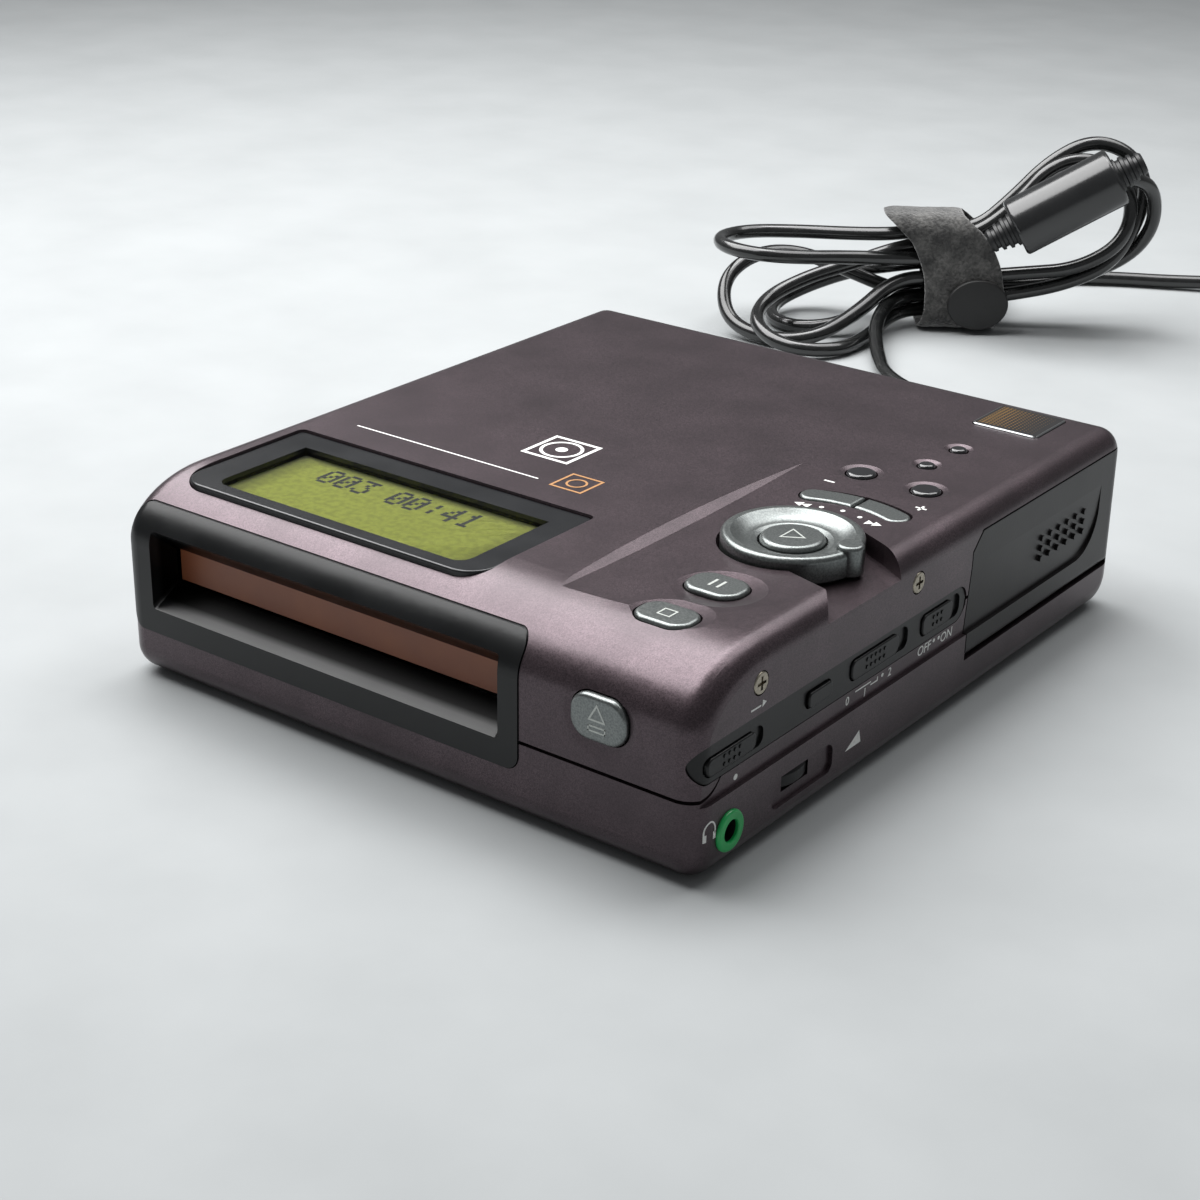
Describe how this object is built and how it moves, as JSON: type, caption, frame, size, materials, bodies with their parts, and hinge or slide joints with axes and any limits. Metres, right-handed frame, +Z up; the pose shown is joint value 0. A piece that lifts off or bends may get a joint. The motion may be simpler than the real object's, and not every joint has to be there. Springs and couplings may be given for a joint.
{
  "type": "portable minidisc player",
  "caption": "Pocket disc player with front loading slot and flap, small display, thumb ring with keys, side switches, hinged battery door, and a strapped power lead behind it.",
  "frame": {"origin": "middle of the player's base, on the plane of its feet", "axes": "+X towards the side with the switches, +Y from the slot towards the rear, +Z up"},
  "size_m": [0.1645, 0.3688, 0.0481],
  "materials": {
    "case_paint": "satin metallic",
    "satin_black": "satin",
    "ledge_grey": "satin",
    "flap_brown": "satin",
    "steel": "ground",
    "display_dark": "gloss",
    "clear_glass": "clear",
    "lcd_green": "satin",
    "circuit_board": "satin",
    "badge_dark": "gloss",
    "jack_green": "gloss",
    "key_metal": "satin",
    "gloss_black": "gloss",
    "door_black": "satin",
    "battery_wrap": "satin",
    "contact_brass": "plated",
    "sheet_steel": "plain",
    "rubber_grey": "matte",
    "drive_plastic": "matte",
    "cast_metal": "cast",
    "gear_white": "matte",
    "screw_black": "black oxide",
    "screw_brass": "plated",
    "cord_black": "gloss",
    "strap_fabric": "woven"
  },
  "bodies": {
    "root": {"top_case": "case_paint", "bottom_case": "case_paint", "slot_bezel": "satin_black", "slot_ledge": "ledge_grey", "flap_pin": "steel", "display_frame": "display_dark", "display_glass": "clear_glass", "lcd_panel": "lcd_green", "display_board": "circuit_board", "badge_plate": "badge_dark", "side_strip": "satin_black", "headphone_jack": "satin_black", "jack_collar": "jack_green", "dc_jack": "satin_black", "main_board": "circuit_board", "control_board": "circuit_board", "door_pin": "steel", "battery_tray": "satin_black", "battery_pack": "battery_wrap", "battery_contacts": "contact_brass", "chassis": "sheet_steel", "dampers": "rubber_grey", "guide_rods": "steel", "spindle_motor": "sheet_steel", "sled_motor": "sheet_steel", "case_screws": "screw_black", "side_screws": "screw_brass", "rubber_feet": "rubber_grey", "dc_plug": "cord_black", "power_lead": "cord_black", "lead_hank": "cord_black", "hank_strap": "strap_fabric", "ferrite_bead": "gloss_black", "outer_lead": "cord_black", "lead_connector": "cord_black"},
    "slot_flap": {"slot_flap": "flap_brown"},
    "jog_ring": {"jog_ring": "key_metal"},
    "play_button": {"play_button": "key_metal"},
    "pause_button": {"pause_button": "key_metal"},
    "stop_button": {"stop_button": "key_metal"},
    "eject_button": {"eject_button": "key_metal"},
    "minus_key": {"minus_key": "key_metal"},
    "plus_key": {"plus_key": "key_metal"},
    "round_button_left": {"round_button_left": "gloss_black"},
    "round_button_right": {"round_button_right": "gloss_black"},
    "small_button_front": {"small_button_front": "gloss_black"},
    "small_button_rear": {"small_button_rear": "gloss_black"},
    "hold_switch": {"hold_switch": "satin_black"},
    "mode_button": {"mode_button": "satin_black"},
    "bass_switch": {"bass_switch": "satin_black"},
    "resume_switch": {"resume_switch": "satin_black"},
    "volume_wheel": {"volume_wheel": "satin_black"},
    "battery_door": {"battery_door": "door_black"},
    "turntable": {"turntable": "drive_plastic", "spindle_shaft": "steel"},
    "pickup_sled": {"pickup_sled": "cast_metal", "pickup_lens": "clear_glass"},
    "drive_gear": {"drive_gear": "gear_white"},
    "motor_pinion": {"motor_pinion": "contact_brass"},
    "cartridge_holder": {"cartridge_holder": "sheet_steel"}
  },
  "joints": [
    {"name": "slot_flap_hinge", "type": "hinge", "parent": "root", "child": "slot_flap", "pos_m": [0, -0.06055, 0.024], "axis": [1, 0, 0], "range_deg": [0, 86], "stiffness_Nm_per_rad": 0.002, "springref_deg": -17.19},
    {"name": "jog_ring_turn", "type": "hinge", "parent": "root", "child": "jog_ring", "pos_m": [0.0412, -0.01625, 0.033], "axis": [0, 0, 1], "range_deg": [-20, 20], "stiffness_Nm_per_rad": 0.01},
    {"name": "play_button_press", "type": "slide", "parent": "root", "child": "play_button", "axis": [0, 0, -1], "range_m": [0, 0.0007], "stiffness_N_per_m": 350, "springref_m": -0.0004},
    {"name": "pause_button_press", "type": "slide", "parent": "root", "child": "pause_button", "axis": [0, 0, -1], "range_m": [0, 0.0007], "stiffness_N_per_m": 350, "springref_m": -0.0004},
    {"name": "stop_button_press", "type": "slide", "parent": "root", "child": "stop_button", "axis": [0, 0, -1], "range_m": [0, 0.0007], "stiffness_N_per_m": 350, "springref_m": -0.0004},
    {"name": "eject_button_press", "type": "slide", "parent": "root", "child": "eject_button", "axis": [0, 1, 0], "range_m": [0, 0.0007], "stiffness_N_per_m": 350, "springref_m": -0.0004},
    {"name": "minus_key_press", "type": "slide", "parent": "root", "child": "minus_key", "axis": [0, 0, -1], "range_m": [0, 0.0007], "stiffness_N_per_m": 350, "springref_m": -0.0004},
    {"name": "plus_key_press", "type": "slide", "parent": "root", "child": "plus_key", "axis": [0, 0, -1], "range_m": [0, 0.0007], "stiffness_N_per_m": 350, "springref_m": -0.0004},
    {"name": "round_button_left_press", "type": "slide", "parent": "root", "child": "round_button_left", "axis": [0, 0, -1], "range_m": [0, 0.0007], "stiffness_N_per_m": 350, "springref_m": -0.0004},
    {"name": "round_button_right_press", "type": "slide", "parent": "root", "child": "round_button_right", "axis": [0, 0, -1], "range_m": [0, 0.0007], "stiffness_N_per_m": 350, "springref_m": -0.0004},
    {"name": "small_button_front_press", "type": "slide", "parent": "root", "child": "small_button_front", "axis": [0, 0, -1], "range_m": [0, 0.0007], "stiffness_N_per_m": 350, "springref_m": -0.0004},
    {"name": "small_button_rear_press", "type": "slide", "parent": "root", "child": "small_button_rear", "axis": [0, 0, -1], "range_m": [0, 0.0007], "stiffness_N_per_m": 350, "springref_m": -0.0004},
    {"name": "mode_button_press", "type": "slide", "parent": "root", "child": "mode_button", "axis": [-1, 0, 0], "range_m": [0, 0.0006], "stiffness_N_per_m": 350, "springref_m": -0.0004},
    {"name": "hold_switch_slide", "type": "slide", "parent": "root", "child": "hold_switch", "axis": [0, 1, 0], "range_m": [0, 0.002]},
    {"name": "bass_switch_slide", "type": "slide", "parent": "root", "child": "bass_switch", "axis": [0, 1, 0], "range_m": [0, 0.003]},
    {"name": "resume_switch_slide", "type": "slide", "parent": "root", "child": "resume_switch", "axis": [0, 1, 0], "range_m": [0, 0.0026]},
    {"name": "volume_wheel_turn", "type": "hinge", "parent": "root", "child": "volume_wheel", "pos_m": [0.0503, -0.03995, 0.0083], "axis": [0, 0, 1], "range_deg": [0, 290]},
    {"name": "battery_door_hinge", "type": "hinge", "parent": "root", "child": "battery_door", "pos_m": [0.0574, 0, 0.0103], "axis": [0, 1, 0], "range_deg": [0, 95]},
    {"name": "turntable_spin", "type": "hinge", "parent": "root", "child": "turntable", "pos_m": [-0.0148, -0.02525, 0.015], "axis": [0, 0, 1], "continuous": true},
    {"name": "pickup_sled_slide", "type": "slide", "parent": "root", "child": "pickup_sled", "axis": [1, 0, 0], "range_m": [0, 0.013]},
    {"name": "drive_gear_turn", "type": "hinge", "parent": "root", "child": "drive_gear", "pos_m": [0.001, -0.04375, 0.006], "axis": [0, 0, 1], "range_deg": [-186.71, 0.5]},
    {"name": "motor_pinion_turn", "type": "hinge", "parent": "root", "child": "motor_pinion", "pos_m": [-0.005, -0.04375, 0.006], "axis": [0, 0, 1], "range_deg": [-0.5, 372.92]},
    {"name": "cartridge_holder_lower", "type": "slide", "parent": "root", "child": "cartridge_holder", "axis": [0, 0, -1], "range_m": [0, 0.0018]}
  ],
  "couplings": [
    {"joint": "drive_gear_turn", "follows": "pickup_sled_slide", "rad_per_m": -250},
    {"joint": "motor_pinion_turn", "follows": "pickup_sled_slide", "rad_per_m": 500}
  ]
}
